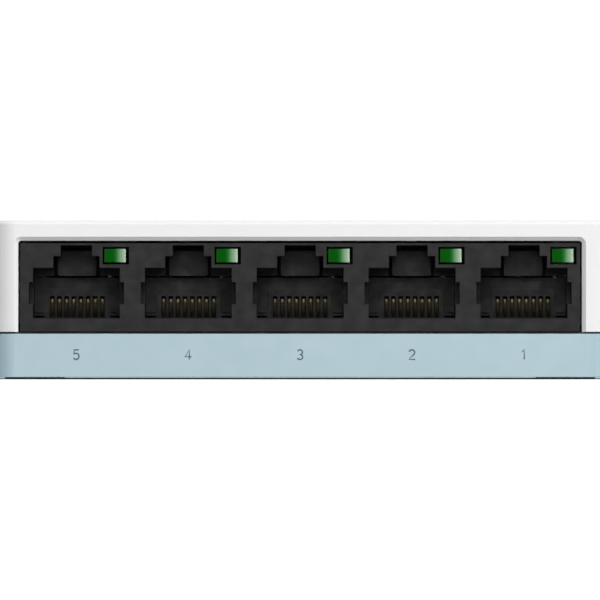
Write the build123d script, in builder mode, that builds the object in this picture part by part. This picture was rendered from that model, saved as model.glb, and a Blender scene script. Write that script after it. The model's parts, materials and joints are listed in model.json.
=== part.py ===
from build123d import *
import os
from math import cos, radians, sin

# A five-port desktop network switch, in millimetres.
# X runs along the row of ports, the ports face -Y and +Z is up.
# The origin is on the table under the middle of the case.

os.makedirs("parts", exist_ok=True)

# ---- Case -----------------------------------------------------------------
case_width = 90.0
case_depth = 56.0
case_bottom = 0.3
case_top = 22.5
corner_radius = 4.4
wall = 2.0
tray_top = 6.46
cover_bottom = 6.72
top_edge_radius = 0.5
bottom_edge_radius = 0.1
seam_edge_radius = 0.07
lip_thickness = 0.9
lip_height = 1.4
lip_gap = 0.1

front_y = -case_depth / 2
rear_y = case_depth / 2
inner_x = case_width / 2 - wall
inner_y = case_depth / 2 - wall
floor_top = case_bottom + wall
ceiling = case_top - wall

# ---- Opening for the port bank, with a bevel round it ---------------------
opening_half = 39.98
opening_top = 19.66
opening_corner = 0.45
bevel_width = 0.57
bevel_depth = 0.5

# ---- Circuit board --------------------------------------------------------
board_top = 6.65
board_thickness = 1.6
board_bottom = board_top - board_thickness
board_width = 84.8
board_depth = 51.2
tail_bottom = 4.0

# ---- Port bank ------------------------------------------------------------
port_count = 5
port_pitch = 15.875
bank_recess = 0.4
bank_half = 39.72
bank_top = 19.33
bank_depth = 16.0
bank_front = front_y + bank_recess
bank_rear = bank_front + bank_depth
port_numbers = range(1, port_count + 1)

# plug cavity, as half widths and heights
cavity_half = 6.15
cavity_floor = 8.72
cavity_top = 15.79
cavity_depth = 12.2
ear_half = 6.73
ear_low = 10.68
ear_high = 13.76
ear_depth = 9.0
latch_wide_half = 3.27
latch_wide_top = 17.47
latch_narrow_half = 2.2
latch_top = 19.0
front_lip = 1.5
relief_depth = 1.2
relief_top = 6.75
mouth_chamfer = 0.07
floor_chamfer = 0.2
cavity_back = bank_front + cavity_depth

# tongue that closes the latch groove at the back
tongue_half = 2.73
tongue_low = 14.70
tongue_high = 18.25
tongue_front = bank_front + 9.1
tongue_back = bank_rear - 0.9

# ---- Contact wires --------------------------------------------------------
wire_count = 8
wire_pitch = 1.02
wire_radius = 0.24
fold_y = bank_front + 2.6
fold_z = 7.85
fold_radius = 0.75
wire_slope = 12.0
beam_length = 9.4
tip_radius = 0.6
tip_turn = 60.0
tip_length = 0.4
tail_run_z = fold_z - fold_radius

# ---- Comb insert ----------------------------------------------------------
insert_half = 6.1
insert_top = 14.42
insert_rear = bank_rear - 0.2
comb_half = 4.25
comb_top = 12.8
comb_front = cavity_back - 0.6
slot_width = 0.67
slot_top = 11.8
slot_back = bank_rear - 1.6
plate_low = 7.6
plate_high = 8.2
plate_front = bank_front + 3.6

# a thin ledge across a dark recess, low in each corner of the cavity
corner_inner = comb_half + 0.45
corner_depth = 2.4
corner_top = 9.47
ledge_front = cavity_back - 1.0
ledge_low = 9.05
ledge_high = 9.30

# ---- Port lamps -----------------------------------------------------------
lamp_offset = 5.50
lamp_z = 17.54
lamp_width = 3.05
lamp_height = 1.95
lamp_length = 7.0
lamp_recess = 0.15
lamp_hole_offset = 5.60
lamp_hole_width = 3.7
lamp_hole_height = 2.45
lamp_lead_spacing = 1.8
lamp_lead_y = bank_rear + 0.7
lead_size = 0.45

# ---- Power socket on the rear wall ----------------------------------------
socket_x = -28.0
socket_width = 9.0
socket_height = 11.0
socket_depth = 14.0
socket_face = rear_y - 0.4
socket_back = socket_face - socket_depth
socket_axis_z = board_top + 6.5
nose_step = 0.35
nose_start = inner_y - 0.1
nose_gap = 0.12
barrel_radius = 3.15
barrel_depth = 9.6
pin_radius = 1.0
pin_shoulder_radius = 1.3
pin_end = socket_face - 0.8

# ---- Fasteners, feet and vents --------------------------------------------
case_screw_x = 39.0
case_screw_y = 12.0
post_radius = 3.0
board_screw_x = 38.5
board_screw_y = 3.0
screw_radius = 1.2
pilot_radius = 1.25
screw_head_radius = 2.3
screw_head_height = 1.5
screw_head_seat = case_bottom + screw_head_height + 0.3
foot_x = 38.0
foot_y = 21.0
foot_radius = 4.0
foot_thickness = 1.3
hook_y = -14.0
hook_width = 8.0
peg_radius = 1.6
peg_y = -20.0
label_width = 46.0
label_depth = 26.0
label_recess = 0.25
light_x = 31.0
light_y = 12.0
light_radius = 1.0


# ---- Helpers --------------------------------------------------------------
def save(piece, node):
    """Label a finished piece and write it to its own file."""
    piece.part.label = node
    export_step(piece.part, f"parts/{node}.step")


def block(x, y, z, mode=Mode.ADD):
    """A box between two limits on each axis."""
    with Locations(((x[0] + x[1]) / 2, (y[0] + y[1]) / 2, (z[0] + z[1]) / 2)):
        Box(x[1] - x[0], y[1] - y[0], z[1] - z[0], mode=mode)


def around(centre, half):
    """The limits of a span about its centre."""
    return (centre - half, centre + half)


def facing_front(y):
    """The upright plane at y whose sketches read as (x, z) from the front."""
    return Plane(origin=(0, y, 0), x_dir=(1, 0, 0), z_dir=(0, -1, 0))


def port_x(port):
    """Port 1 is at +X and port 5 at -X, as numbered on the tray."""
    return (port_count + 1 - 2 * port) / 2 * port_pitch


def wire_xs(port):
    """Centres of the eight contact wires of a port."""
    first = port_x(port) - (wire_count - 1) / 2 * wire_pitch
    return [first + index * wire_pitch for index in range(wire_count)]


def tail_y(index):
    """Solder tails stand in two rows, taken in turn."""
    return bank_rear - 2.2 - 2.54 * (index % 2)


def opening_outline(grow, corner):
    """The port opening seen from the front, grown outwards on all sides."""
    with Locations((0, opening_top / 2)):
        RectangleRounded(2 * (opening_half + grow), opening_top + 2 * grow, corner)


# ---- Top cover ------------------------------------------------------------
post_bottom = board_bottom - 0.05

with BuildPart() as top_cover:
    with BuildSketch(Plane.XY.offset(cover_bottom)):
        RectangleRounded(case_width, case_depth, corner_radius)
    extrude(amount=case_top - cover_bottom)
    fillet(top_cover.edges().group_by(Axis.Z)[-1], radius=top_edge_radius)
    fillet(top_cover.edges().group_by(Axis.Z)[0], radius=seam_edge_radius)

    with BuildSketch(Plane.XY.offset(cover_bottom)):
        RectangleRounded(2 * inner_x, 2 * inner_y, corner_radius - wall)
    extrude(amount=ceiling - cover_bottom, mode=Mode.SUBTRACT)

    # rebate that drops over the tray's lip
    rebate = lip_thickness + lip_gap
    with BuildSketch(Plane.XY.offset(cover_bottom)):
        RectangleRounded(2 * (inner_x + rebate), 2 * (inner_y + rebate), corner_radius - wall + rebate)
    extrude(amount=lip_height, mode=Mode.SUBTRACT)

    # port opening, open at the cover's bottom edge, and its bevel
    with BuildSketch(facing_front(front_y)):
        opening_outline(0, opening_corner)
    extrude(amount=-2 * wall, mode=Mode.SUBTRACT)
    with BuildSketch(facing_front(front_y)):
        opening_outline(bevel_width, opening_corner + bevel_width)
    with BuildSketch(facing_front(front_y + bevel_depth)):
        opening_outline(0, opening_corner)
    loft(mode=Mode.SUBTRACT)

    # notch for the power socket in the rear wall
    block(
        around(socket_x, socket_width / 2 - nose_step + nose_gap),
        (inner_y - 0.5, rear_y + 0.5),
        (cover_bottom - 1, board_top + socket_height - nose_step + nose_gap),
        mode=Mode.SUBTRACT,
    )

    # air slots through both side walls
    with BuildSketch(Plane.YZ):
        with Locations((-2, 13)):
            with GridLocations(3, 1, 6, 1):
                SlotOverall(7, 1.5, rotation=90)
    extrude(amount=case_width, both=True, mode=Mode.SUBTRACT)

    # window for the power light
    with Locations((light_x, light_y, case_top)):
        Hole(light_radius + 0.05, depth=wall + 0.5)

    # screw posts, each with a web to the side wall
    with BuildSketch(Plane.XY.offset(post_bottom)):
        with Locations((case_screw_x, case_screw_y), (-case_screw_x, case_screw_y)):
            Circle(post_radius)
    extrude(amount=ceiling - post_bottom + 0.2)
    for side in (-1, 1):
        web = sorted((side * (case_screw_x + 2), side * (inner_x + 0.2)))
        block(web, around(case_screw_y, 0.6), (cover_bottom + 3, ceiling + 0.2))
    with BuildSketch(Plane.XY.offset(post_bottom)):
        with Locations((case_screw_x, case_screw_y), (-case_screw_x, case_screw_y)):
            Circle(pilot_radius)
    extrude(amount=9, mode=Mode.SUBTRACT)

    # snap hooks near the front: an arm down inside each side wall with a nose
    for side in (-1, 1):
        arm = sorted((side * (inner_x - 1.3), side * (inner_x - 0.1)))
        root = sorted((side * (inner_x - 1.3), side * (inner_x + 0.2)))
        nose = sorted((side * (inner_x - 0.2), side * (inner_x + 0.7)))
        block(arm, around(hook_y, hook_width / 2), (3.2, 11.0))
        block(root, around(hook_y, hook_width / 2), (8.4, 11.0))
        block(nose, around(hook_y, hook_width / 2), (3.2, 4.2))

    # two ribs that hold the port bank down
    for rib_x in (-port_pitch, port_pitch):
        block(around(rib_x, 0.6), (-25, -13), (bank_top + 0.15, ceiling + 0.2))
save(top_cover, "top_cover")

# ---- Base tray ------------------------------------------------------------
with BuildPart() as base_tray:
    with BuildSketch(Plane.XY.offset(case_bottom)):
        RectangleRounded(case_width, case_depth, corner_radius)
    extrude(amount=tray_top - case_bottom)
    fillet(base_tray.edges().group_by(Axis.Z)[0], radius=bottom_edge_radius)
    fillet(base_tray.edges().group_by(Axis.Z)[-1], radius=seam_edge_radius)
    with BuildSketch(Plane.XY.offset(floor_top)):
        RectangleRounded(2 * inner_x, 2 * inner_y, corner_radius - wall)
    extrude(amount=tray_top - floor_top, mode=Mode.SUBTRACT)

    # lip that the cover drops over, left out at the ports, hooks and socket
    with BuildSketch(Plane.XY.offset(tray_top)):
        RectangleRounded(
            2 * (inner_x + lip_thickness),
            2 * (inner_y + lip_thickness),
            corner_radius - wall + lip_thickness,
        )
        RectangleRounded(2 * inner_x, 2 * inner_y, corner_radius - wall, mode=Mode.SUBTRACT)
    extrude(amount=lip_height - 0.15)
    lip_z = (tray_top, tray_top + lip_height)
    block((-case_width, case_width), (front_y, -20), lip_z, mode=Mode.SUBTRACT)
    block(around(socket_x, socket_width / 2 + 1), (20, rear_y), lip_z, mode=Mode.SUBTRACT)
    hook_span = around(hook_y, hook_width / 2 + 0.4)
    block((-case_width, case_width), hook_span, lip_z, mode=Mode.SUBTRACT)

    # pockets in the side walls that the hooks' noses snap into
    block(around(0, inner_x + 0.9), hook_span, (2.9, 4.5), mode=Mode.SUBTRACT)

    # round pillars under the board, two of them with screw holes
    with BuildSketch(Plane.XY.offset(floor_top - 0.2)):
        with Locations((board_screw_x, board_screw_y), (-board_screw_x, board_screw_y)):
            Circle(2.6)
        with Locations((39.5, -22.5), (-39.5, -22.5), (0, 22), (0, -2)):
            Circle(1.8)
    extrude(amount=board_bottom - floor_top + 0.2)
    with BuildSketch(Plane.XY.offset(board_bottom)):
        with Locations((board_screw_x, board_screw_y), (-board_screw_x, board_screw_y)):
            Circle(pilot_radius)
    extrude(amount=-3.4, mode=Mode.SUBTRACT)

    # bosses for the case screws, counterbored from below
    with BuildSketch(Plane.XY.offset(floor_top - 0.2)):
        with Locations((case_screw_x, case_screw_y), (-case_screw_x, case_screw_y)):
            Circle(post_radius + 0.4)
    extrude(amount=post_bottom - floor_top + 0.2)
    with BuildSketch(Plane.XY.offset(case_bottom)):
        with Locations((case_screw_x, case_screw_y), (-case_screw_x, case_screw_y)):
            Circle(screw_radius + 0.3)
    extrude(amount=post_bottom, mode=Mode.SUBTRACT)
    with BuildSketch(Plane.XY.offset(case_bottom)):
        with Locations((case_screw_x, case_screw_y), (-case_screw_x, case_screw_y)):
            Circle(screw_head_radius + 0.3)
    extrude(amount=screw_head_seat - case_bottom, mode=Mode.SUBTRACT)

    # round seats for the feet
    with BuildSketch(Plane.XY.offset(case_bottom)):
        with GridLocations(2 * foot_x, 2 * foot_y, 2, 2):
            Circle(foot_radius + 0.15)
    extrude(amount=foot_thickness - case_bottom, mode=Mode.SUBTRACT)

    # shallow seat for the label
    with BuildSketch(Plane.XY.offset(case_bottom)):
        RectangleRounded(label_width + 0.4, label_depth + 0.4, 1.2)
    extrude(amount=label_recess, mode=Mode.SUBTRACT)

    # two rows of air slots through the floor
    with BuildSketch(Plane.XY.offset(case_bottom)):
        with GridLocations(4, 38, 12, 2):
            SlotOverall(6, 1.6, rotation=90)
    extrude(amount=floor_top - case_bottom, mode=Mode.SUBTRACT)
save(base_tray, "base_tray")

# ---- Port bank housing ----------------------------------------------------
with BuildPart() as port_bank_housing:
    block((-bank_half, bank_half), (bank_front, bank_rear), (board_top, bank_top))
    # relief along the foot of the front face
    block(
        (-bank_half, bank_half),
        (bank_front, bank_front + relief_depth),
        (board_top, relief_top),
        mode=Mode.SUBTRACT,
    )

    for port in port_numbers:
        x = port_x(port)

        # plug cavity with its ears, and the stepped groove for the plug's latch
        with BuildSketch(facing_front(bank_front)):
            with Locations((x, (cavity_floor + cavity_top) / 2)):
                Rectangle(2 * cavity_half, cavity_top - cavity_floor)
            with Locations((x, (cavity_top + latch_wide_top) / 2)):
                Rectangle(2 * latch_wide_half, latch_wide_top - cavity_top)
            with Locations((x, (latch_wide_top + latch_top) / 2)):
                Rectangle(2 * latch_narrow_half, latch_top - latch_wide_top)
        extrude(amount=-cavity_depth, mode=Mode.SUBTRACT)
        block(
            around(x, ear_half),
            (bank_front, bank_front + ear_depth),
            (ear_low, ear_high),
            mode=Mode.SUBTRACT,
        )

        # the back of the groove, split by the tongue
        block(
            around(x, latch_wide_half),
            (tongue_front, tongue_back),
            (insert_top, latch_wide_top),
            mode=Mode.SUBTRACT,
        )
        with BuildSketch(facing_front(tongue_front)):
            with Locations((x, (tongue_low + tongue_high) / 2)):
                RectangleRounded(2 * tongue_half, tongue_high - tongue_low, 0.3)
            with Locations((x, (latch_wide_top + latch_top) / 2)):
                Rectangle(2 * ear_half, latch_top - latch_wide_top, mode=Mode.SUBTRACT)
        extrude(amount=-(tongue_back + 0.5 - tongue_front))
        block(around(x, latch_narrow_half), (tongue_front, tongue_back), (latch_wide_top - 0.5, tongue_high))

        # room for the comb insert, open behind and below
        block(
            around(x, cavity_half),
            (cavity_back, bank_rear),
            (board_top, tongue_low),
            mode=Mode.SUBTRACT,
        )
        block(
            around(x, cavity_half),
            (bank_front + front_lip, cavity_back),
            (board_top, cavity_floor),
            mode=Mode.SUBTRACT,
        )

        # channel for the lamp, right through to the back
        with BuildSketch(facing_front(bank_front)):
            with Locations((x + lamp_hole_offset, lamp_z)):
                Rectangle(lamp_hole_width, lamp_hole_height)
        extrude(amount=-bank_depth, mode=Mode.SUBTRACT)

    # the plug floor's front edges slope, and every other front edge is broken slightly
    with BuildSketch(Plane.YZ.offset(-cavity_half)):
        with BuildLine():
            Polyline(
                (bank_front, cavity_floor - floor_chamfer),
                (bank_front + floor_chamfer, cavity_floor),
                (bank_front, cavity_floor),
                close=True,
            )
        make_face()
    slope_tool = extrude(amount=2 * cavity_half, mode=Mode.PRIVATE)
    for port in port_numbers:
        with Locations((port_x(port), 0, 0)):
            add(slope_tool, mode=Mode.SUBTRACT)
    front_edges = port_bank_housing.faces().sort_by(Axis.Y)[0].edges()
    chamfer(
        front_edges.filter_by(lambda edge: abs(edge.center().Z - cavity_floor + floor_chamfer) > 0.01),
        length=mouth_chamfer,
    )

    # pegs that locate the bank in the board
    with BuildSketch(Plane.XY.offset(board_bottom - 0.6)):
        with Locations((-1.5 * port_pitch, peg_y), (1.5 * port_pitch, peg_y)):
            Circle(peg_radius)
    extrude(amount=board_thickness + 1.2)
save(port_bank_housing, "port_bank_housing")

# ---- One contact wire, at x = 0: a fold, a sloping beam and a raised tip ---
beam_start = (
    fold_y - fold_radius * sin(radians(wire_slope)),
    fold_z + fold_radius * cos(radians(wire_slope)),
)

with BuildPart() as contact_wire:
    with BuildLine(Plane.YZ) as wire_path:
        CenterArc((fold_y, fold_z), fold_radius, 90 + wire_slope, 170 - wire_slope)
        beam = PolarLine(beam_start, beam_length, wire_slope)
        tip = JernArc(beam @ 1, beam % 1, tip_radius, tip_turn)
        Line(tip @ 1, tip @ 1 + (tip % 1) * tip_length)
    with BuildSketch(Plane(origin=wire_path.wires()[0] @ 0, z_dir=wire_path.wires()[0] % 0)):
        Circle(wire_radius)
    sweep()

# ---- Comb inserts, contact wires, solder tails and lamps, port by port ----
for port in port_numbers:
    x = port_x(port)

    with BuildPart() as port_insert:
        block(around(x, insert_half), (cavity_back, insert_rear), (board_top + 0.1, insert_top))
        block(around(x, comb_half + 0.2), (comb_front, cavity_back), (plate_high - 0.1, comb_top))
        block(around(x, insert_half), (plate_front, cavity_back), (plate_low, plate_high))
        for side in (-1, 1):
            corner = sorted((x + side * corner_inner, x + side * insert_half))
            corner_back = cavity_back + corner_depth
            block(corner, (cavity_back, corner_back), (plate_high, corner_top), mode=Mode.SUBTRACT)
            block(corner, (ledge_front, corner_back + 0.1), (ledge_low, ledge_high))
        for wire_x in wire_xs(port):
            block(
                around(wire_x, slot_width / 2),
                (comb_front, slot_back),
                (plate_high, slot_top),
                mode=Mode.SUBTRACT,
            )
        # clearance for the wires' runs underneath
        block(
            around(x, comb_half + 0.4),
            (cavity_back, insert_rear - 0.8),
            (board_top, plate_low),
            mode=Mode.SUBTRACT,
        )
    save(port_insert, f"port_insert_{port}")

    with BuildPart() as port_contacts:
        with Locations(*[(wire_x, 0, 0) for wire_x in wire_xs(port)]):
            add(contact_wire.part)
    save(port_contacts, f"port_contacts_{port}")

    with BuildPart() as port_tails:
        for index, wire_x in enumerate(wire_xs(port)):
            half = wire_radius * 0.9
            bend_y = tail_y(index)
            block(
                around(wire_x, half),
                (fold_y + 0.05, bend_y + half),
                around(tail_run_z, half),
            )
            block(
                around(wire_x, half),
                around(bend_y, half),
                (tail_bottom, tail_run_z),
            )
    save(port_tails, f"port_tails_{port}")

    with BuildPart() as port_lamp:
        block(
            around(x + lamp_offset, lamp_width / 2),
            (bank_front + lamp_recess, bank_front + lamp_recess + lamp_length),
            around(lamp_z, lamp_height / 2),
        )
        fillet(port_lamp.edges().group_by(Axis.Y)[0], radius=0.12)
    save(port_lamp, f"port_lamp_{port}")

# ---- Leads of the port lamps, bent down behind the bank --------------------
with BuildPart() as lamp_leads:
    for port in port_numbers:
        for side in (-1, 1):
            lead_x = port_x(port) + lamp_offset + side * lamp_lead_spacing / 2
            lamp_end = bank_front + lamp_recess + lamp_length
            block(
                around(lead_x, lead_size / 2),
                (lamp_end, lamp_lead_y + lead_size / 2),
                around(lamp_z, lead_size / 2),
            )
            block(
                around(lead_x, lead_size / 2),
                around(lamp_lead_y, lead_size / 2),
                (tail_bottom, lamp_z),
            )
save(lamp_leads, "lamp_leads")

# ---- Circuit board --------------------------------------------------------
with BuildPart() as circuit_board:
    with BuildSketch(Plane.XY.offset(board_bottom)):
        RectangleRounded(board_width, board_depth, 1.5)
        for side in (-1, 1):
            # notches for the screw posts and the snap hooks
            with Locations((side * (case_screw_x + 3), case_screw_y)):
                Rectangle(2 * post_radius + 6.8, 2 * post_radius + 0.8, mode=Mode.SUBTRACT)
            with Locations((side * (inner_x - 0.1), hook_y)):
                Rectangle(3, hook_width + 1, mode=Mode.SUBTRACT)
            with Locations((side * board_screw_x, board_screw_y)):
                Circle(1.5, mode=Mode.SUBTRACT)
            with Locations((side * 1.5 * port_pitch, peg_y)):
                Circle(peg_radius + 0.05, mode=Mode.SUBTRACT)
        for port in port_numbers:
            with Locations(*[(wire_x, tail_y(index)) for index, wire_x in enumerate(wire_xs(port))]):
                Circle(0.4, mode=Mode.SUBTRACT)
            with Locations((port_x(port) + lamp_offset, lamp_lead_y)):
                with GridLocations(lamp_lead_spacing, 1, 2, 1):
                    Circle(0.42, mode=Mode.SUBTRACT)
        # slots for the power socket's terminals
        with Locations((socket_x, socket_back - 0.35), (socket_x, socket_back + 2.05)):
            Rectangle(3.0, 0.9, mode=Mode.SUBTRACT)
    extrude(amount=board_thickness)
save(circuit_board, "circuit_board")


# ---- Leaded packages ------------------------------------------------------
def package_body(size, corner_mark):
    """A moulded package standing just off the board, with a pin-1 dimple."""
    width, depth, height = size
    with BuildPart() as body:
        with BuildSketch(Plane.XY.offset(0.1)):
            RectangleRounded(width, depth, 0.2)
        extrude(amount=height - 0.1)
        chamfer(body.edges().group_by(Axis.Z)[-1], length=0.15)
        with Locations((-width / 2 + corner_mark, -depth / 2 + corner_mark, height)):
            Hole(0.35, depth=0.1)
    return body.part


def lead_row(count, pitch, inner, outer, rise, width):
    """One row of gull-wing leads along X that reach out along +Y from the body."""
    with BuildPart() as row:
        for index in range(count):
            lead_x = (index - (count - 1) / 2) * pitch
            with BuildSketch(Plane.YZ.offset(lead_x - width / 2)):
                with BuildLine():
                    Polyline(
                        (inner, rise),
                        (inner + 0.35, rise),
                        (inner + 0.35, 0),
                        (outer, 0),
                        (outer, 0.13),
                        (inner + 0.48, 0.13),
                        (inner + 0.48, rise + 0.13),
                        (inner, rise + 0.13),
                        close=True,
                    )
                make_face()
            extrude(amount=width)
    return row.part


# ---- Isolation transformers, one behind each port -------------------------
transformer_size = (12.7, 7.0, 5.6)
transformer_y = -5.4
transformer_body = package_body(transformer_size, 1.0)
transformer_row = lead_row(8, 1.27, transformer_size[1] / 2, 4.7, 1.6, 0.45)

for port in port_numbers:
    with BuildPart() as line_transformer:
        with Locations((port_x(port), transformer_y, board_top)):
            add(transformer_body)
    save(line_transformer, f"line_transformer_{port}")

with BuildPart() as transformer_leads:
    for port in port_numbers:
        for turn in (0, 180):
            with Locations(Location((port_x(port), transformer_y, board_top), (0, 0, turn))):
                add(transformer_row)
save(transformer_leads, "transformer_leads")

# ---- Switch chip ----------------------------------------------------------
chip_size = 14.0
chip_place = (0, 9.5, board_top)

with BuildPart() as switch_chip:
    with Locations(chip_place):
        add(package_body((chip_size, chip_size, 1.5), 1.4))
save(switch_chip, "switch_chip")

chip_row = lead_row(25, 0.5, chip_size / 2, chip_size / 2 + 1.0, 0.6, 0.22)
with BuildPart() as switch_chip_leads:
    for turn in (0, 90, 180, 270):
        with Locations(Location(chip_place, (0, 0, turn))):
            add(chip_row)
save(switch_chip_leads, "switch_chip_leads")

# ---- Power regulator ------------------------------------------------------
regulator_place = (-18.5, 5.5, board_top)
regulator_size = (4.9, 3.9, 1.6)

with BuildPart() as regulator:
    with Locations(regulator_place):
        add(package_body(regulator_size, 0.8))
save(regulator, "regulator")

regulator_row = lead_row(4, 1.27, regulator_size[1] / 2, 3.0, 0.6, 0.42)
with BuildPart() as regulator_leads:
    for turn in (0, 180):
        with Locations(Location(regulator_place, (0, 0, turn))):
            add(regulator_row)
save(regulator_leads, "regulator_leads")

# ---- Power inductor: a square ferrite block with a round core --------------
with BuildPart() as power_inductor:
    with BuildSketch(Plane.XY.offset(board_top)):
        with Locations((-28.5, 5.5)):
            RectangleRounded(7.0, 7.0, 1.4)
    extrude(amount=3.6)
    with BuildSketch(Plane.XY.offset(board_top + 3.6)):
        with Locations((-28.5, 5.5)):
            Circle(2.9)
            Circle(2.3, mode=Mode.SUBTRACT)
    extrude(amount=-0.3, mode=Mode.SUBTRACT)
save(power_inductor, "power_inductor")

# ---- Electrolytic filter capacitors ---------------------------------------
capacitor_places = [(-17.0, 13.5), (-17.0, 21.0)]
capacitor_radius = 3.15
capacitor_height = 9.0

with BuildPart() as filter_capacitors:
    with BuildSketch(Plane.XY.offset(board_top)):
        with Locations(*capacitor_places):
            Circle(capacitor_radius)
    extrude(amount=capacitor_height)
    fillet(filter_capacitors.edges().group_by(Axis.Z)[-1], radius=0.4)
    # groove above the rubber bung
    with BuildSketch(Plane.XY.offset(board_top + 1.2)):
        with Locations(*capacitor_places):
            Circle(capacitor_radius + 0.1)
            Circle(capacitor_radius - 0.2, mode=Mode.SUBTRACT)
    extrude(amount=0.6, mode=Mode.SUBTRACT)
save(filter_capacitors, "filter_capacitors")

# ---- Crystal can ----------------------------------------------------------
with BuildPart() as crystal:
    with BuildSketch(Plane.XY.offset(board_top)):
        with Locations((17.0, 5.0)):
            SlotOverall(11.4, 4.7)
    extrude(amount=0.5)
    with BuildSketch(Plane.XY.offset(board_top + 0.5)):
        with Locations((17.0, 5.0)):
            SlotOverall(10.6, 3.9)
    extrude(amount=3.0)
    fillet(crystal.edges().group_by(Axis.Z)[-1], radius=0.5)
save(crystal, "crystal")

# ---- Small surface-mount parts in rows ------------------------------------
small_size = (1.6, 0.8, 0.8)
large_size = (2.0, 1.25, 1.2)
resistor_size = (1.6, 0.8, 0.5)
resistor_row_y = 0.9

with BuildPart() as ceramic_capacitors:
    with Locations((0, 20.0, board_top + small_size[2] / 2), (17.0, 13.0, board_top + small_size[2] / 2)):
        with GridLocations(2.6, 2.4, 4, 2):
            Box(*small_size)
    with Locations((-23.0, 9.8, board_top + large_size[2] / 2)):
        with GridLocations(3.2, 1, 2, 1):
            Box(*large_size)
save(ceramic_capacitors, "ceramic_capacitors")

with BuildPart() as chip_resistors:
    with Locations((27.5, 4.5, board_top + resistor_size[2] / 2)):
        with GridLocations(2.4, 2.0, 3, 3):
            Box(*resistor_size)
    for port in (2, 4):
        with Locations((port_x(port), resistor_row_y, board_top + resistor_size[2] / 2)):
            with GridLocations(2.2, 1, 4, 1):
                Box(*resistor_size)
save(chip_resistors, "chip_resistors")

# ---- Power socket ---------------------------------------------------------
rear_plane = Plane(origin=(socket_x, socket_face, socket_axis_z), x_dir=(-1, 0, 0), z_dir=(0, 1, 0))

with BuildPart() as dc_socket_body:
    # the nose fills the notch in the cover, and the body behind it is a step larger
    block(
        around(socket_x, socket_width / 2 - nose_step),
        (socket_back, socket_face),
        (board_top, board_top + socket_height - nose_step),
    )
    fillet(dc_socket_body.edges().filter_by(Axis.Y).group_by(Axis.Z)[-1], radius=0.4)
    block(
        around(socket_x, socket_width / 2),
        (socket_back, nose_start),
        (board_top, board_top + socket_height),
    )
    fillet(dc_socket_body.edges().filter_by(Axis.Y).group_by(Axis.Z)[-1], radius=0.5)
    with BuildSketch(rear_plane):
        Circle(barrel_radius)
    extrude(amount=-barrel_depth, mode=Mode.SUBTRACT)
    chamfer(dc_socket_body.edges().filter_by(GeomType.CIRCLE).group_by(Axis.Y)[-1], length=0.3)
    # bore for the centre pin's shoulder through the back wall
    with BuildSketch(rear_plane):
        Circle(pin_shoulder_radius + 0.03)
    extrude(amount=-socket_depth, mode=Mode.SUBTRACT)
    # trough for the spring contact under the barrel, and its way down
    block(
        around(socket_x, 1.5),
        (socket_back + 1.6, socket_face - 1.2),
        (board_top + 1.2, socket_axis_z - 2.2),
        mode=Mode.SUBTRACT,
    )
    block(
        around(socket_x, 1.5),
        (socket_back + 1.6, socket_back + 2.5),
        (board_top, board_top + 1.5),
        mode=Mode.SUBTRACT,
    )
save(dc_socket_body, "dc_socket_body")

# the pin is riveted through the back wall by its shoulder and stands free
# in the barrel; its flat terminal goes down through the board
shoulder_start = socket_back - 0.4
barrel_bottom = socket_face - barrel_depth

with BuildPart() as dc_centre_pin:
    with BuildSketch(Plane(origin=(socket_x, shoulder_start, socket_axis_z), z_dir=(0, 1, 0))):
        Circle(pin_shoulder_radius)
    extrude(amount=barrel_bottom - shoulder_start)
    with BuildSketch(Plane(origin=(socket_x, barrel_bottom, socket_axis_z), z_dir=(0, 1, 0))):
        Circle(pin_radius)
    extrude(amount=pin_end - barrel_bottom)
    fillet(dc_centre_pin.edges().group_by(Axis.Y)[-1], radius=0.6)
    block(
        around(socket_x, 1.25),
        (socket_back - 0.55, socket_back - 0.05),
        (tail_bottom, socket_axis_z + 1.4),
    )
save(dc_centre_pin, "dc_centre_pin")

# leaf that presses on the outside of the plug's barrel: a sloping arm with
# a hump, hinged where it leaves its terminal
leaf_root = (socket_back + 2.4, board_top + 2.0)
leaf_thickness = 0.3
leaf_width = 2.0
leaf_hump = (socket_face - 3.9, socket_axis_z - 2.65)

with BuildPart() as dc_spring_contact:
    with BuildSketch(Plane.YZ.offset(socket_x - leaf_width / 2)):
        with BuildLine() as leaf_line:
            FilletPolyline(
                leaf_root,
                leaf_hump,
                (leaf_hump[0] + 2.2, leaf_hump[1] - 1.3),
                radius=0.9,
            )
        trace(line_width=leaf_thickness)
    extrude(amount=leaf_width)
save(dc_spring_contact, "dc_spring_contact")

with BuildPart() as dc_sleeve_terminal:
    block(
        around(socket_x, 1.25),
        (socket_back + 1.8, socket_back + 2.1),
        (tail_bottom, leaf_root[1] + 0.15),
    )
save(dc_sleeve_terminal, "dc_sleeve_terminal")

# ---- Power light and its pipe through the cover ---------------------------
with BuildPart() as power_lamp:
    with Locations((light_x, light_y, board_top + 0.4)):
        Box(2.0, 1.25, 0.8)
save(power_lamp, "power_lamp")

with BuildPart() as power_light_pipe:
    with BuildSketch(Plane.XY.offset(board_top + 1.1)):
        with Locations((light_x, light_y)):
            Circle(light_radius + 0.5)
    extrude(amount=ceiling - board_top - 1.1)
    with BuildSketch(Plane.XY.offset(ceiling)):
        with Locations((light_x, light_y)):
            Circle(light_radius)
    extrude(amount=wall + 0.05)
    fillet(power_light_pipe.edges().group_by(Axis.Z)[-1], radius=0.2)
save(power_light_pipe, "power_light_pipe")

# ---- Rubber feet ----------------------------------------------------------
foot_places = [(foot_x, -foot_y), (-foot_x, -foot_y), (foot_x, foot_y), (-foot_x, foot_y)]

for number, place in enumerate(foot_places, start=1):
    with BuildPart() as rubber_foot:
        with BuildSketch(Plane.XY):
            with Locations(place):
                Circle(foot_radius)
        extrude(amount=foot_thickness)
        fillet(rubber_foot.edges().group_by(Axis.Z)[0], radius=0.2)
    save(rubber_foot, f"rubber_foot_{number}")


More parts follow.
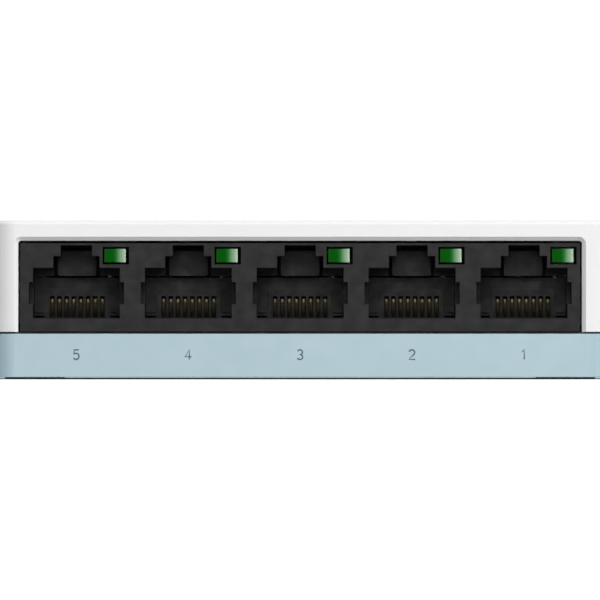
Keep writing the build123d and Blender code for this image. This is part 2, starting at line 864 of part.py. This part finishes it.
# ---- Screws ---------------------------------------------------------------
def pan_screw(length):
    """A cross-recess pan-head screw, head down, seat at z = 0, shank up."""
    with BuildPart() as screw:
        with BuildSketch(Plane.XY):
            Circle(screw_head_radius)
        extrude(amount=-screw_head_height)
        fillet(screw.edges().group_by(Axis.Z)[0], radius=0.6)
        with BuildSketch(Plane.XY):
            Circle(screw_radius)
        extrude(amount=length)
        chamfer(screw.edges().group_by(Axis.Z)[-1], length=0.4)
        with BuildSketch(Plane.XY.offset(-screw_head_height)):
            Rectangle(2.4, 0.5)
            Rectangle(0.5, 2.4)
        extrude(amount=0.8, mode=Mode.SUBTRACT)
    return screw.part


case_screw = pan_screw(9.0)

with BuildPart() as case_screws:
    for side in (-1, 1):
        with Locations((side * case_screw_x, case_screw_y, screw_head_seat)):
            add(case_screw)
save(case_screws, "case_screws")

board_screw = pan_screw(4.6)

with BuildPart() as board_screws:
    for side in (-1, 1):
        with Locations(Location((side * board_screw_x, board_screw_y, board_top), (180, 0, 0))):
            add(board_screw)
save(board_screws, "board_screws")

# ---- Blank label on the underside -----------------------------------------
with BuildPart() as base_label:
    with BuildSketch(Plane.XY.offset(case_bottom + label_recess)):
        RectangleRounded(label_width, label_depth, 1.0)
    extrude(amount=-0.12)
save(base_label, "base_label")
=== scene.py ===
import json
from math import cos, pi, radians, sin

import bpy
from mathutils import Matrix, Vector


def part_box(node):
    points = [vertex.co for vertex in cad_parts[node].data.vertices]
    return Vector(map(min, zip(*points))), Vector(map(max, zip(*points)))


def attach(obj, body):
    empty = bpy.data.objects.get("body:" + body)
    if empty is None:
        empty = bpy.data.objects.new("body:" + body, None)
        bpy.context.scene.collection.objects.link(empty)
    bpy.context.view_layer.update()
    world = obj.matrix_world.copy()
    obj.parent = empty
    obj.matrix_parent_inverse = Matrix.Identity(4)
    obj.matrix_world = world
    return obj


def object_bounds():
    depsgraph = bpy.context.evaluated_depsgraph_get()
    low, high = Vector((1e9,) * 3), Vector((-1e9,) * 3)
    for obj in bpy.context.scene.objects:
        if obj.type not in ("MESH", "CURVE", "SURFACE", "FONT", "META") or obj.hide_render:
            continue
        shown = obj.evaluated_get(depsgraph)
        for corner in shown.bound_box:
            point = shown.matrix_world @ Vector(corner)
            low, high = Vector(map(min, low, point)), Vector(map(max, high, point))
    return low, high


# A five-port desktop network switch, seen straight at its row of ports.
# Metres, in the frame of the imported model: X along the ports, the ports face -Y, +Z up.

MM = 0.001

# Ports, and each lamp's place in them
PORTS = range(1, 6)
PORT_PITCH = 15.875 * MM
LAMP_OFFSET = 5.5 * MM
LAMP_HALF_WIDTH = 1.525 * MM

# Contact wires: gold above the upper height, and below the lower one a painted shade, near-black
PAINTED_SHADE_BELOW = 9.2 * MM
GOLD_ABOVE = 11.2 * MM

# Port numbers, printed on the tray's front wall
DIGIT_HEIGHT = 1.58 * MM
DIGIT_CENTRE = 3.5 * MM
STROKE = 0.22 * MM
INK_THICKNESS = 0.006 * MM

# Floor: a painted shadow, near-black, under the case; outside it a faint glow from within, which fades
# out towards the case and so leaves painted shade beside it
FLOOR_HALF = 0.6
FLOOR_PAINTED_SHADOW_EDGE = (-5 * MM, -3 * MM)
FLOOR_GLOW = 0.2
FLOOR_GLOW_WIDTH = 4 * MM

# World: the backdrop that the camera sees, and the even light on the object
BACKDROP = 1.05
AMBIENT = 0.12

# Camera: a long lens square to the port face
LENS = 1000
SENSOR_WIDTH = 36
SHOWN_WIDTH = 85.1 * MM
CAMERA_X = -0.01 * MM
CAMERA_Z = 11.25 * MM

# Soft boxes: name, azimuth, elevation, distance, size, level
LIGHTS = (
    ("front", 2, 15, 1.2, 0.5, 0.62),
    ("key", 62, 20, 1.2, 0.5, 0.57),
    ("top", -20, 82, 1.0, 0.6, 0.32),
    ("rim_left", -130, 16, 1.2, 0.5, 0.5),
    ("rim_right", 150, 16, 1.2, 0.5, 0.4),
    ("under", 180, -65, 1.2, 0.5, 0.4),
)

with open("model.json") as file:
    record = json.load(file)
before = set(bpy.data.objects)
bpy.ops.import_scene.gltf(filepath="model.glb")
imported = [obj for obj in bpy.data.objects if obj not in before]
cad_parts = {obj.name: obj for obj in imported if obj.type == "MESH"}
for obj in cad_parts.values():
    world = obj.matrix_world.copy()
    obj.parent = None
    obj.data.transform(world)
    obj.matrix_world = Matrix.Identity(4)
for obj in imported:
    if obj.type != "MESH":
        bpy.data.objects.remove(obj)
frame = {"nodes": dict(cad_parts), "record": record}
cad_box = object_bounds()
nodes = frame["nodes"]


# ---- Node graph helpers -----------------------------------------------------
class Graph:
    """A material and the few node-building steps that every finish here uses."""

    def __init__(self, name):
        self.material = bpy.data.materials.new(name)
        self.material.use_nodes = True
        self.tree = self.material.node_tree
        self.shader = self.tree.nodes["Principled BSDF"]
        self.place = self.node("ShaderNodeTexCoord").outputs["Object"]

    def node(self, kind, **settings):
        made = self.tree.nodes.new(kind)
        for key, value in settings.items():
            setattr(made, key, value)
        return made

    def link(self, source, target):
        self.tree.links.new(source, target)

    def feed(self, name, source):
        """Link a socket to one of the shader's inputs."""
        self.link(source, self.shader.inputs[name])

    def set(self, **inputs):
        """Constants on the shader's own sockets."""
        for key, value in inputs.items():
            self.shader.inputs[key.replace("_", " ")].default_value = value

    def noise(self, size, detail=2.0, roughness=0.5, stretch=(1, 1, 1)):
        """Noise whose grains are about size millimetres across; returns its 0..1 value."""
        mapping = self.node("ShaderNodeMapping")
        mapping.inputs["Scale"].default_value = stretch
        self.link(self.place, mapping.inputs["Vector"])
        texture = self.node("ShaderNodeTexNoise")
        texture.inputs["Scale"].default_value = 1 / (size * MM)
        texture.inputs["Detail"].default_value = detail
        texture.inputs["Roughness"].default_value = roughness
        self.link(mapping.outputs["Vector"], texture.inputs["Vector"])
        return texture.outputs["Fac"]

    def remap(self, value, low, high, start=0.3, stop=0.7):
        """value between start and stop becomes low to high."""
        ranged = self.node("ShaderNodeMapRange", clamp=True)
        ranged.inputs["From Min"].default_value = start
        ranged.inputs["From Max"].default_value = stop
        ranged.inputs["To Min"].default_value = low
        ranged.inputs["To Max"].default_value = high
        self.link(value, ranged.inputs["Value"])
        return ranged.outputs["Result"]

    def mix(self, factor, first, second):
        """Colour between first and second; each is a colour or a socket."""
        mixer = self.node("ShaderNodeMix", data_type="RGBA")
        self.link(factor, mixer.inputs["Factor"])
        for socket, value in ((mixer.inputs[6], first), (mixer.inputs[7], second)):
            if isinstance(value, tuple):
                socket.default_value = (*value[:3], 1)
            else:
                self.link(value, socket)
        return mixer.outputs[2]

    def calculate(self, operation, *terms):
        """A maths node's result; each term is a number or a socket."""
        made = self.node("ShaderNodeMath", operation=operation)
        for socket, term in zip(made.inputs, terms):
            if isinstance(term, (int, float)):
                socket.default_value = term
            else:
                self.link(term, socket)
        return made.outputs[0]

    def component(self, source, axis):
        """One axis of a vector."""
        axes = self.node("ShaderNodeSeparateXYZ")
        self.link(source, axes.inputs[0])
        return axes.outputs[axis]

    def geometry(self, name):
        return self.node("ShaderNodeNewGeometry").outputs[name]

    def bump(self, heights):
        """Bumps stacked in order: each is (0..1 height, depth in millimetres)."""
        normal = None
        for height, depth in heights:
            bump = self.node("ShaderNodeBump")
            bump.inputs["Strength"].default_value = 1.0
            bump.inputs["Distance"].default_value = depth * MM
            self.link(height, bump.inputs["Height"])
            if normal is not None:
                self.link(normal, bump.inputs["Normal"])
            normal = bump.outputs["Normal"]
        self.feed("Normal", normal)

    def edges(self, radius):
        """A 0..1 mask of the sharp edges, from the shader's rounded normal."""
        rounded = self.node("ShaderNodeBevel", samples=4)
        rounded.inputs["Radius"].default_value = radius * MM
        product = self.node("ShaderNodeVectorMath", operation="DOT_PRODUCT")
        self.link(rounded.outputs["Normal"], product.inputs[0])
        self.link(self.geometry("Normal"), product.inputs[1])
        return self.remap(product.outputs["Value"], 1.0, 0.0, 0.75, 0.99)

    def outside_footprint(self):
        """How far a floor point lies outside the case's footprint, in metres."""
        reaches = [
            self.calculate("SUBTRACT", self.calculate("ABSOLUTE", self.component(self.place, axis)), half)
            for axis, half in (("X", cad_box[1].x), ("Y", cad_box[1].y))
        ]
        return self.calculate("MAXIMUM", *reaches)


def srgb(red, green, blue):
    """A colour given as 0..255 screen values, in linear light."""
    def linear(value):
        value = value / 255
        return value / 12.92 if value <= 0.04045 else ((value + 0.055) / 1.055) ** 2.4
    return tuple(linear(value) for value in (red, green, blue))


def scaled(colour, factor):
    return tuple(value * factor for value in colour)


# ---- Finishes ---------------------------------------------------------------
def moulded(name, colour, roughness, grain, grain_depth, tint=0.04, scuff=None):
    """Injection-moulded plastic: faint tone drift, fine spark-eroded grain, uneven gloss."""
    g = Graph(name)
    drift = g.noise(22, detail=3)
    base = g.mix(g.remap(drift, 0, 1), scaled(colour, 1 - tint), colour)
    if scuff:
        rub = g.noise(3.2, detail=6, roughness=0.7, stretch=(0.25, 1, 1))
        base = g.mix(g.remap(rub, 0, scuff, 0.6, 0.8), base, scaled(colour, 0.8))
    g.feed("Base Color", base)
    uneven = g.noise(1.6, detail=4)
    g.feed("Roughness", g.remap(uneven, roughness * 0.85, roughness * 1.15))
    g.bump([(g.noise(9, detail=1), 0.006), (g.noise(grain, detail=2), grain_depth)])
    return g


def white_shell():
    g = moulded("white_shell", srgb(231, 231, 231), 0.36, 0.8, 0.0012, tint=0.015)
    g.set(Specular_IOR_Level=0.4)
    return g.material


def blue_shell():
    g = moulded("blue_shell", srgb(165, 190, 199), 0.4, 0.22, 0.004, tint=0.03, scuff=0.25)
    g.set(Specular_IOR_Level=0.5)
    return g.material


def connector_black():
    """Matt black moulding, made paler along its sharp edges."""
    g = moulded("connector_black", srgb(24, 24, 25), 0.58, 0.3, 0.005, tint=0.06)
    # the sharp edges are mixed towards a paler grey
    paler_edges = g.remap(g.edges(0.08), 0, 0.5, 0, 1)
    tone = g.shader.inputs["Base Color"].links[0].from_socket
    g.feed("Base Color", g.mix(paler_edges, tone, srgb(80, 80, 82)))
    g.set(Specular_IOR_Level=0.2)
    return g.material


def rubber():
    g = moulded("rubber", srgb(52, 53, 55), 0.8, 0.14, 0.02, tint=0.2, scuff=0.5)
    g.set(Specular_IOR_Level=0.25)
    return g.material


def metal(name, colour, roughness, tarnish, grain=0.4):
    """Plated metal with drawn streaks and a little tarnish."""
    g = Graph(name)
    cloud = g.remap(g.noise(1.1, detail=5), 0, 1, 0.4, 0.75)
    g.feed("Base Color", g.mix(cloud, colour, tarnish))
    streak = g.noise(grain, detail=3, stretch=(1, 0.12, 1))
    g.feed("Roughness", g.remap(streak, roughness * 0.7, roughness * 1.4))
    g.bump([(streak, 0.004)])
    g.set(Metallic=1.0)
    return g.material


def contact_plating():
    """Gold at the raised tips, where a plug touches; painted near-black down at the fold, a painted
    shade.
    """
    g = Graph("contact_plating")
    up = g.remap(g.component(g.place, "Z"), 0, 1, PAINTED_SHADE_BELOW, GOLD_ABOVE)
    cloud = g.noise(0.5, detail=4)
    gold = g.mix(g.remap(cloud, 0, 1), (0.27, 0.21, 0.1), (0.35, 0.28, 0.14))
    # painted shade: the wires darken to near-black below the lower height
    g.feed("Base Color", g.mix(up, (0.03, 0.026, 0.02), gold))
    streak = g.noise(0.25, detail=3, stretch=(1, 0.15, 1))
    g.feed("Roughness", g.remap(streak, 0.56, 0.72))
    g.bump([(streak, 0.003)])
    g.set(Metallic=1.0)
    return g.material


def lamp_green():
    """Green diffused epoxy: deep green over the die's cup, paling to a painted whitish reflection towards
    the other end.
    """
    g = Graph("lamp_green")
    from_lamp = g.calculate("SUBTRACT", g.component(g.place, "X"), LAMP_OFFSET)
    across = g.calculate("WRAP", from_lamp, PORT_PITCH / 2, -PORT_PITCH / 2)
    # painted reflection: the colour ramp runs from deep green to whitish across the lens, in place of a
    # light's reflection
    ramp = g.node("ShaderNodeValToRGB")
    ramp.color_ramp.interpolation = "EASE"
    first, *between, last = (
        (0.0, srgb(30, 84, 34)),
        (0.08, srgb(4, 76, 6)),
        (0.42, srgb(5, 80, 7)),
        (0.55, srgb(30, 104, 36)),
        (0.66, srgb(84, 136, 92)),
        (0.76, srgb(124, 161, 129)),
        (1.0, srgb(180, 201, 177)),
    )
    stops = ramp.color_ramp.elements
    for stop, (position, colour) in zip(stops, (first, last)):
        stop.position, stop.color = position, (*colour, 1)
    for position, colour in between:
        stops.new(position).color = (*colour, 1)
    g.link(g.remap(across, 0, 1, -LAMP_HALF_WIDTH, LAMP_HALF_WIDTH), ramp.inputs["Fac"])
    haze = g.noise(0.25, detail=3)
    tinted = g.mix(g.remap(haze, 0, 0.06), ramp.outputs["Color"], srgb(24, 100, 26))
    g.feed("Base Color", tinted)
    g.feed("Roughness", g.remap(haze, 0.3, 0.45))
    g.bump([(haze, 0.01)])
    g.set(Specular_IOR_Level=0.015)
    return g.material


def solder_mask():
    """Glass-epoxy board under green solder mask, with raised copper tracks."""
    g = Graph("solder_mask")
    weave = g.node("ShaderNodeTexBrick", offset=0.5)
    weave.inputs["Scale"].default_value = 1 / (5.5 * MM)
    weave.inputs["Mortar Size"].default_value = 0.05
    weave.inputs["Color1"].default_value = (1, 1, 1, 1)
    weave.inputs["Color2"].default_value = (1, 1, 1, 1)
    weave.inputs["Mortar"].default_value = (0, 0, 0, 1)
    g.link(g.place, weave.inputs["Vector"])
    track = g.remap(weave.outputs["Color"], 1, 0, 0.2, 0.8)
    cloth = g.noise(0.5, detail=1)
    green = g.mix(g.remap(cloth, 0, 1), (0.012, 0.09, 0.035), (0.016, 0.11, 0.045))
    masked = g.mix(track, green, (0.03, 0.2, 0.07))
    # painted shade: the board's upright faces are painted near-black
    upright = g.calculate("ABSOLUTE", g.component(g.geometry("Normal"), "Z"))
    flat = g.remap(upright, 0, 1, 0.4, 0.7)
    g.feed("Base Color", g.mix(flat, (0.012, 0.013, 0.008), masked))
    g.feed("Roughness", g.remap(cloth, 0.28, 0.4))
    g.bump([(track, 0.035), (cloth, 0.008)])
    return g.material


def capacitor_sleeve():
    """Dark sleeve up the sides and bare aluminium on top."""
    g = Graph("capacitor_sleeve")
    top = g.remap(g.component(g.geometry("Normal"), "Z"), 0, 1, 0.6, 0.8)
    haze = g.noise(0.8, detail=3)
    sleeve = g.mix(g.remap(haze, 0, 1), srgb(24, 27, 40), srgb(32, 36, 52))
    g.feed("Base Color", g.mix(top, sleeve, (0.62, 0.63, 0.65)))
    g.feed("Metallic", top)
    g.feed("Roughness", g.remap(haze, 0.25, 0.45))
    g.bump([(haze, 0.01)])
    return g.material


def clear_plastic():
    g = Graph("clear_plastic")
    haze = g.noise(0.6, detail=3)
    g.feed("Base Color", g.mix(g.remap(haze, 0, 1), (0.93, 0.95, 0.97), (0.98, 0.99, 1.0)))
    g.feed("Roughness", g.remap(haze, 0.06, 0.16))
    g.bump([(haze, 0.006)])
    g.set(Transmission_Weight=0.85, IOR=1.49)
    return g.material


finishes = {
    "white_shell": white_shell(),
    "blue_shell": blue_shell(),
    "black_plastic": connector_black(),
    "gold_plate": contact_plating(),
    "tinned_lead": metal("tinned_lead", (0.72, 0.72, 0.72), 0.35, (0.5, 0.5, 0.48)),
    "lamp_green": lamp_green(),
    "green_board": solder_mask(),
    "black_epoxy": moulded("epoxy", srgb(38, 38, 40), 0.55, 0.12, 0.006, tint=0.1).material,
    "ferrite": moulded("ferrite", srgb(62, 62, 64), 0.6, 0.18, 0.02, tint=0.2).material,
    "capacitor_can": capacitor_sleeve(),
    "steel_can": metal("steel_can", (0.7, 0.7, 0.7), 0.3, (0.55, 0.55, 0.54), grain=0.8),
    "ceramic": moulded("ceramic", srgb(150, 118, 84), 0.45, 0.2, 0.01, tint=0.25).material,
    "resistor_film": moulded("resistor_film", srgb(38, 38, 44), 0.45, 0.2, 0.01, tint=0.25).material,
    "spring_bronze": metal("spring_bronze", (0.8, 0.7, 0.5), 0.3, (0.6, 0.48, 0.3)),
    "clear_plastic": clear_plastic(),
    "zinc_steel": metal("zinc_steel", (0.66, 0.67, 0.7), 0.35, (0.5, 0.5, 0.5)),
    "rubber": rubber(),
    "label_film": moulded("label_film", srgb(226, 226, 224), 0.5, 0.1, 0.003, tint=0.03).material,
}
ink = moulded("number_ink", srgb(70, 92, 104), 0.55, 0.08, 0.004, tint=0.15).material

for entry in frame["record"]["subparts"]:
    node = nodes[entry["node"]]
    node.data.materials.clear()
    node.data.materials.append(finishes[entry["material_slot"]])


# ---- Port numbers printed on the tray ---------------------------------------
def arc(centre, radii, start, stop, steps=14):
    """Points along part of an ellipse, in the digit's own units."""
    angles = [radians(start + (stop - start) * step / steps) for step in range(steps + 1)]
    return [(centre[0] + radii[0] * cos(a), centre[1] + radii[1] * sin(a)) for a in angles]


# pen strokes of a plain upright face, one unit to half a digit's height
DIGITS = {
    1: [(-0.36, 0.58), (0.06, 1.0), (0.06, -1.0)],
    2: [*arc((0, 0.45), (0.58, 0.55), 165, -25), (-0.62, -1.0), (0.66, -1.0)],
    3: [*arc((-0.03, 0.5), (0.52, 0.5), 155, -90), *arc((-0.03, -0.5), (0.6, 0.5), 90, -155)],
    4: [(0.26, -1.0), (0.26, 1.0), (-0.66, -0.42), (0.7, -0.42)],
    5: [(0.56, 1.0), (-0.4, 1.0), (-0.5, 0.1), *arc((-0.03, -0.35), (0.6, 0.65), 125, -150)],
}


def add(name, data):
    """A new object in the scene."""
    made = bpy.data.objects.new(name, data)
    bpy.context.scene.collection.objects.link(made)
    return made


def pen_mesh(port):
    """The digit's strokes as a round tube, about the origin."""
    curve = bpy.data.curves.new(f"digit_{port}", "CURVE")
    curve.dimensions = "3D"
    curve.bevel_depth = STROKE / 2
    curve.bevel_resolution = 2
    curve.use_fill_caps = True
    spline = curve.splines.new("POLY")
    unit = (DIGIT_HEIGHT - STROKE) / 2
    points = DIGITS[port]
    spline.points.add(len(points) - 1)
    for point, (across, up) in zip(spline.points, points):
        point.co = (across * unit, 0, up * unit, 1)
    pen = add(f"digit_{port}", curve)
    bpy.context.view_layer.update()
    mesh = bpy.data.meshes.new_from_object(pen.evaluated_get(bpy.context.evaluated_depsgraph_get()))
    bpy.data.objects.remove(pen)
    return mesh


def port_number(port):
    """A thin printed digit on the tray's front wall, under its port."""
    low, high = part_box(f"port_contacts_{port}")
    wall_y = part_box("base_tray")[0].y
    mesh = pen_mesh(port)
    # the round stroke is pressed flat against the wall
    for vertex in mesh.vertices:
        x, y, z = vertex.co
        vertex.co = ((low.x + high.x) / 2 + x, wall_y + y * INK_THICKNESS / STROKE, DIGIT_CENTRE + z)
    mesh.materials.clear()
    mesh.materials.append(ink)
    piece = add(f"port_number_{port}", mesh)
    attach(piece, "chassis")


for port in PORTS:
    port_number(port)


# ---- Floor, light and camera ------------------------------------------------
def make_floor():
    """A pale floor that is clear from below, so the underside can be seen and lit; a painted shadow
    darkens it under the case, and its glow fades out towards the case as painted shade.
    """
    half = FLOOR_HALF
    corners = [(-half, -half, 0), (half, -half, 0), (half, half, 0), (-half, half, 0)]
    mesh = bpy.data.meshes.new("floor")
    mesh.from_pydata(corners, [], [(0, 1, 2, 3)])
    g = Graph("floor")
    tone = g.noise(60, detail=2)
    pale = g.mix(g.remap(tone, 0, 1), (0.93, 0.93, 0.93), (0.95, 0.95, 0.95))
    outside = g.outside_footprint()
    # painted shadow: the floor's colour goes near-black under the case
    outside_painted_shadow = g.remap(outside, 0, 1, *FLOOR_PAINTED_SHADOW_EDGE)
    g.feed("Base Color", g.mix(outside_painted_shadow, (0.01, 0.01, 0.01), pale))
    # the glow fades to nothing towards the case: painted shade beside it
    g.feed("Emission Strength", g.remap(outside, 0, FLOOR_GLOW, 0, FLOOR_GLOW_WIDTH))
    g.set(Roughness=0.9, Specular_IOR_Level=0.1, Emission_Color=(1, 1, 1, 1))
    sides = g.node("ShaderNodeMixShader")
    g.link(g.geometry("Backfacing"), sides.inputs["Fac"])
    g.link(g.shader.outputs[0], sides.inputs[1])
    g.link(g.node("ShaderNodeBsdfTransparent").outputs[0], sides.inputs[2])
    g.link(sides.outputs[0], g.tree.nodes["Material Output"].inputs["Surface"])
    mesh.materials.append(g.material)
    floor = add("floor", mesh)
    floor.visible_diffuse = False
    floor.visible_shadow = False


def make_world():
    """White where the camera looks, and a weaker even light on the object."""
    world = bpy.data.worlds.new("studio")
    bpy.context.scene.world = world
    world.use_nodes = True
    tree = world.node_tree
    tree.nodes.clear()
    mixer = tree.nodes.new("ShaderNodeMixShader")
    rays = tree.nodes.new("ShaderNodeLightPath")
    tree.links.new(rays.outputs["Is Camera Ray"], mixer.inputs["Fac"])
    for socket, strength in ((mixer.inputs[1], AMBIENT), (mixer.inputs[2], BACKDROP)):
        background = tree.nodes.new("ShaderNodeBackground")
        background.inputs["Color"].default_value = (1, 1, 1, 1)
        background.inputs["Strength"].default_value = strength
        tree.links.new(background.outputs[0], socket)
    output = tree.nodes.new("ShaderNodeOutputWorld")
    tree.links.new(mixer.outputs[0], output.inputs["Surface"])


def direction(azimuth, elevation):
    """Towards the light: azimuth 0 is in front of the ports, 90 to the right."""
    a, e = radians(azimuth), radians(elevation)
    return Vector((sin(a) * cos(e), -cos(a) * cos(e), sin(e)))


def soft_light(name, azimuth, elevation, distance, size, level):
    """A square soft box; level is the brightness it gives a white surface that faces it."""
    lamp = bpy.data.lights.new(name, "AREA")
    lamp.shape = "SQUARE"
    lamp.size = size
    lamp.energy = level * pi ** 2 * distance ** 2
    box = add(name, lamp)
    away = direction(azimuth, elevation)
    box.location = (cad_box[0] + cad_box[1]) / 2 + away * distance
    box.rotation_mode = "QUATERNION"
    box.rotation_quaternion = away.to_track_quat("Z", "Y")
    box.visible_camera = False


def make_camera():
    """A long lens square to the port face, as wide as the photo's crop of it."""
    camera = bpy.data.cameras.new("camera")
    camera.lens = LENS
    camera.sensor_width = SENSOR_WIDTH
    camera.clip_start = 0.1
    camera.clip_end = 20
    eye = add("camera", camera)
    distance = SHOWN_WIDTH * LENS / SENSOR_WIDTH
    eye.location = (CAMERA_X, cad_box[0].y - distance, CAMERA_Z)
    eye.rotation_euler = (radians(90), 0, 0)
    bpy.context.scene.camera = eye


make_floor()
make_world()
for light in LIGHTS:
    soft_light(*light)
make_camera()
bpy.context.scene.view_settings.view_transform = "Standard"
